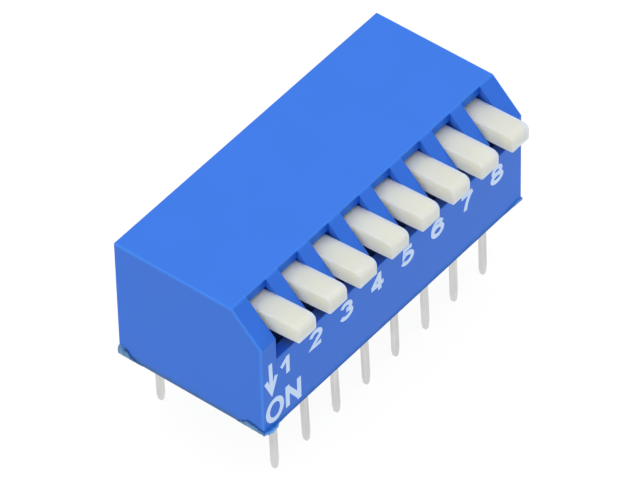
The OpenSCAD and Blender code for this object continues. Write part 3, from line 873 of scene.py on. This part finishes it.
def turn_points(centre, radii, start, end, steps=20):
    """Points on an ellipse between two angles in degrees."""
    return arc(centre, radii, math.radians(start), math.radians(end), steps)


def signs():
    """Pen strokes of each sign in a box from (0, 0) to (1, 1): points, and whether the stroke closes."""
    ring = lambda c, r: (turn_points(c, r, 0, 360, 36)[:-1], True)
    line = lambda *p: (np.array(p, float), False)

    def bend(*corners):
        t = np.linspace(0, 1, 15)[:, None]
        p, q, r = np.array(corners)
        return (1 - t) ** 2 * p + 2 * t * (1 - t) * q + t * t * r, False

    crook = np.concatenate([turn_points((0.5, 0.70), (0.48, 0.30), 172, -28),
                            [(0.66, 0.40), (0.03, 0.0), (1, 0)]])
    belly = np.concatenate([[(0.93, 1), (0.21, 1), (0.10, 0.50)],
                            turn_points((0.47, 0.32), (0.52, 0.32), 118, -158)])
    return {
        "1": [line((0.06, 0.60), (0.68, 1.0)), line((0.70, 1.12), (0.70, -0.13))],
        "2": [(crook, False)],
        "3": [(turn_points((0.47, 0.745), (0.44, 0.255), 165, -90), False),
              (turn_points((0.47, 0.27), (0.51, 0.27), 90, -165), False)],
        "4": [line((0.74, -0.13), (0.74, 1.12)), line((0.74, 1.0), (0.0, 0.30)),
              line((-0.08, 0.28), (1.12, 0.28))],
        "5": [(belly, False)],
        "6": [ring((0.5, 0.32), (0.5, 0.32)), (turn_points((0.52, 0.40), (0.52, 0.60), 180, 32), False)],
        "7": [line((-0.1, 1.0), (1.0, 1.0)), bend((1.0, 1.0), (0.40, 0.60), (0.28, -0.1))],
        "8": [ring((0.5, 0.755), (0.40, 0.245)), ring((0.5, 0.26), (0.5, 0.26))],
        "O": [ring((0.5, 0.5), (0.5, 0.5))],
        "N": [line((0.0, -0.02), (0.0, 1.12)), line((0.0, 1.0), (1.0, 0.0)), line((1.0, -0.12), (1.0, 1.02))],
    }


def ribbon(path, width, closed):
    """A flat band along a path: each point moves half the width to both sides, and further at a corner.

    The step at a point is the mean of its two edge normals, divided by how much they agree.
    """
    ahead = np.roll(path, -1, axis=0) - path
    ahead /= np.linalg.norm(ahead, axis=1)[:, None]
    behind = np.roll(ahead, 1, axis=0)
    if not closed:
        ahead[-1], behind[0] = behind[-1], ahead[0]
    side = np.stack([-(ahead + behind)[:, 1], (ahead + behind)[:, 0]], 1)
    side /= np.maximum(1 + np.sum(ahead * behind, axis=1), 0.35)[:, None]
    points = np.concatenate([path - side * width / 2, path + side * width / 2])
    return points, grid_faces(2, len(path), closed=closed)


def printed(name, strokes, width, front_y, props, material):
    """One sheet of ink from strokes in (x, z) on the front face, sunk a hair into it."""
    points, faces, count = [], [], 0
    for number, (path, closed) in enumerate(strokes):
        flat, quads = ribbon(np.asarray(path, float), width, closed)
        lift = front_y - props.ink_height * (1 + 0.05 * number)
        points.append(np.stack([flat[:, 0], np.full(len(flat), lift), flat[:, 1]], 1))
        faces += (quads + count).tolist()
        count += len(flat)
    points = np.concatenate(points)
    a, b, c = (points[[f[k] for f in faces]] for k in (0, 1, 2))
    outward = np.cross(b - a, c - a)[:, 1] < 0
    faces = [f if good else f[::-1] for f, good in zip(faces, outward)]
    piece = make_piece(name, points, faces, material, "housing", smooth=False)
    body = piece.modifiers.new("ink", "SOLIDIFY")
    body.thickness = props.ink_height * 1.2
    body.offset = -1


def fitted(sign, low, high, pen):
    """A sign's strokes in a box from low to high in (x, z), with the pen's width kept inside it."""
    low, high = np.array(low) + pen / 2, np.array(high) - pen / 2
    return [(low + path * (high - low), closed) for path, closed in signs()[sign]]


class DIP_OT_print(Operator):
    """Print the numbers, the arrow and the ON mark on the front face"""
    bl_idname = "dip.print"
    bl_label = "Print"

    def execute(self, context):
        props = context.scene.dip_print
        material = ink_finish(props)
        front_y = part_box("cover")[0][1]
        pen, bold = props.pen, props.pen * 1.12
        half = props.digit_width / 2
        # The numbers stand a little left of their levers, and their row falls a hair from 1 to 8.
        row, fall = 3.06 * MM, 0.02 * MM
        for number in range(1, len(LEVERS) + 1):
            left_by = (0.155 if number > 1 else 0.08) * MM
            x = (number - (len(LEVERS) + 1) / 2) * props.pitch - left_by
            foot = row - fall * number
            box = (x - half, foot), (x + half, foot + props.digit_height)
            printed(f"print_{number}", fitted(str(number), *box, pen), pen, front_y, props, material)
        on = fitted("O", (-10.66 * MM, 0.40 * MM), (-9.20 * MM, 2.06 * MM), bold)
        on += fitted("N", (-9.05 * MM, 0.45 * MM), (-7.80 * MM, 2.10 * MM), bold)
        printed("print_on", on, bold, front_y, props, material)
        tail, tip = (-10.20 * MM, 4.76 * MM), (-10.14 * MM, 2.62 * MM)
        barbs = (-10.58 * MM, 3.66 * MM), (-9.75 * MM, 3.63 * MM)
        arrow = [([tail, tip], False), ([barbs[0], tip, barbs[1]], False)]
        printed("print_arrow", arrow, pen, front_y, props, material)
        return {"FINISHED"}


# ---- the studio --------------------------------------------------------------


def over_background(tree, camera_share, lit, plain, output):
    """Shows a lit shader, with the plain one for a share of the camera's rays and all in gloss and glass."""
    path = tree.nodes.new("ShaderNodeLightPath").outputs
    seen = maths(tree, "MULTIPLY", path["Is Camera Ray"], camera_share)
    mirrored = maths(tree, "MAXIMUM", path["Is Glossy Ray"], path["Is Transmission Ray"])
    mix = tree.nodes.new("ShaderNodeMixShader")
    feed(tree, mix.inputs[0], maths(tree, "MAXIMUM", seen, mirrored))
    feed(tree, mix.inputs[1], lit.outputs[0])
    feed(tree, mix.inputs[2], plain.outputs[0])
    feed(tree, output.inputs["Surface"], mix.outputs[0])


def studio_floor(level):
    """A large pale floor at the height of the pins' tips, white to the camera and with a faint shadow."""
    half = 3.0
    mesh = bpy.data.meshes.new("floor")
    corners = [(x * half, y * half, level) for x, y in ((-1, -1), (1, -1), (1, 1), (-1, 1))]
    mesh.from_pydata(corners, [], [(0, 1, 2, 3)])
    floor = bpy.data.objects.new("floor", mesh)
    bpy.context.scene.collection.objects.link(floor)
    material = bpy.data.materials.new("floor_paper")
    material.use_nodes = True
    tree = material.node_tree
    tree.nodes.remove(tree.nodes["Principled BSDF"])
    paper = tree.nodes.new("ShaderNodeBsdfDiffuse")
    paper.inputs["Color"].default_value = (0.85, 0.85, 0.85, 1)
    glow = tree.nodes.new("ShaderNodeEmission")
    glow.inputs["Strength"].default_value = 1.06
    over_background(tree, 0.88, paper, glow, tree.nodes["Material Output"])
    mesh.materials.append(material)


def studio_sky(props):
    """A white tent, brightest overhead and dim at the horizon, and plain white where the camera sees it.

    Brightness is low + (high - low) * smoothstep(d . a), where d is the direction and a points nearly
    straight up.
    """
    world = bpy.data.worlds.new("tent")
    bpy.context.scene.world = world
    world.use_nodes = True
    tree = world.node_tree
    way = tree.nodes.new("ShaderNodeTexCoord")
    along = tree.nodes.new("ShaderNodeVectorMath")
    along.operation = "DOT_PRODUCT"
    along.inputs[1].default_value = Vector((-0.12, -0.045, 1.0)).normalized()
    tree.links.new(way.outputs["Object"], along.inputs[0])
    glow = ranged(tree, along.outputs["Value"], 0.063, 0.959, 0.073 * props.light, props.light, smooth=True)
    light = tree.nodes["Background"]
    light.inputs["Color"].default_value = (1, 1, 1, 1)
    tree.links.new(glow, light.inputs["Strength"])
    seen = tree.nodes.new("ShaderNodeBackground")
    seen.inputs["Color"].default_value = (1, 1, 1, 1)
    seen.inputs["Strength"].default_value = 1.0
    over_background(tree, 1.0, light, seen, tree.nodes["World Output"])


class DIP_OT_stage(Operator):
    """Set the floor, the light and the camera"""
    bl_idname = "dip.stage"
    bl_label = "Stage"

    def execute(self, context):
        props = context.scene.dip_stage
        scene = context.scene
        studio_floor(CAD_BOX[0][2])
        studio_sky(props)
        look = Vector((-math.sin(props.azimuth) * math.cos(props.elevation),
                       math.cos(props.azimuth) * math.cos(props.elevation), -math.sin(props.elevation)))
        level = look.cross(Vector((0, 0, 1))).normalized()
        steep = level.cross(look)
        right = level * math.cos(props.roll) + steep * math.sin(props.roll)
        up = right.cross(look)
        camera = bpy.data.cameras.new("camera")
        camera.sensor_width = 36.0
        camera.lens = props.lens
        camera.clip_start = 0.01
        camera.clip_end = 10.0
        holder = bpy.data.objects.new("camera", camera)
        scene.collection.objects.link(holder)
        place = Vector(props.target) - look * props.distance
        turn = Matrix((right, up, -look)).transposed()
        holder.matrix_world = Matrix.Translation(place) @ turn.to_4x4()
        scene.camera = holder
        scene.view_settings.view_transform = "Standard"
        return {"FINISHED"}


class DIP_PT_panel(Panel):
    bl_label = "DIP Switch"
    bl_idname = "DIP_PT_panel"
    bl_space_type = "VIEW_3D"
    bl_region_type = "UI"
    bl_category = "DIP Switch"

    def draw(self, context):
        for operator in OPERATORS:
            self.layout.operator(operator.bl_idname)
        for key in GROUPS:
            box = self.layout.box()
            group = getattr(context.scene, key)
            for name in GROUPS[key].__annotations__:
                box.prop(group, name)


GROUPS = {"dip_cover": DipCoverProps, "dip_levers": DipLeverProps, "dip_metal": DipMetalProps,
          "dip_resin": DipResinProps, "dip_print": DipPrintProps, "dip_stage": DipStageProps}
OPERATORS = (DIP_OT_stage, DIP_OT_cover, DIP_OT_levers, DIP_OT_metal, DIP_OT_seal, DIP_OT_print)


def register():
    for cls in (*GROUPS.values(), *OPERATORS, DIP_PT_panel):
        bpy.utils.register_class(cls)
    for key, cls in GROUPS.items():
        setattr(bpy.types.Scene, key, PointerProperty(type=cls))


def unregister():
    for key in GROUPS:
        delattr(bpy.types.Scene, key)
    for cls in reversed((*GROUPS.values(), *OPERATORS, DIP_PT_panel)):
        bpy.utils.unregister_class(cls)


def main():
    register()
    bpy.ops.dip.stage()
    bpy.ops.dip.cover()
    bpy.ops.dip.levers()
    bpy.ops.dip.metal()
    bpy.ops.dip.seal()
    bpy.ops.dip.print()


if __name__ == "__main__":
    main()
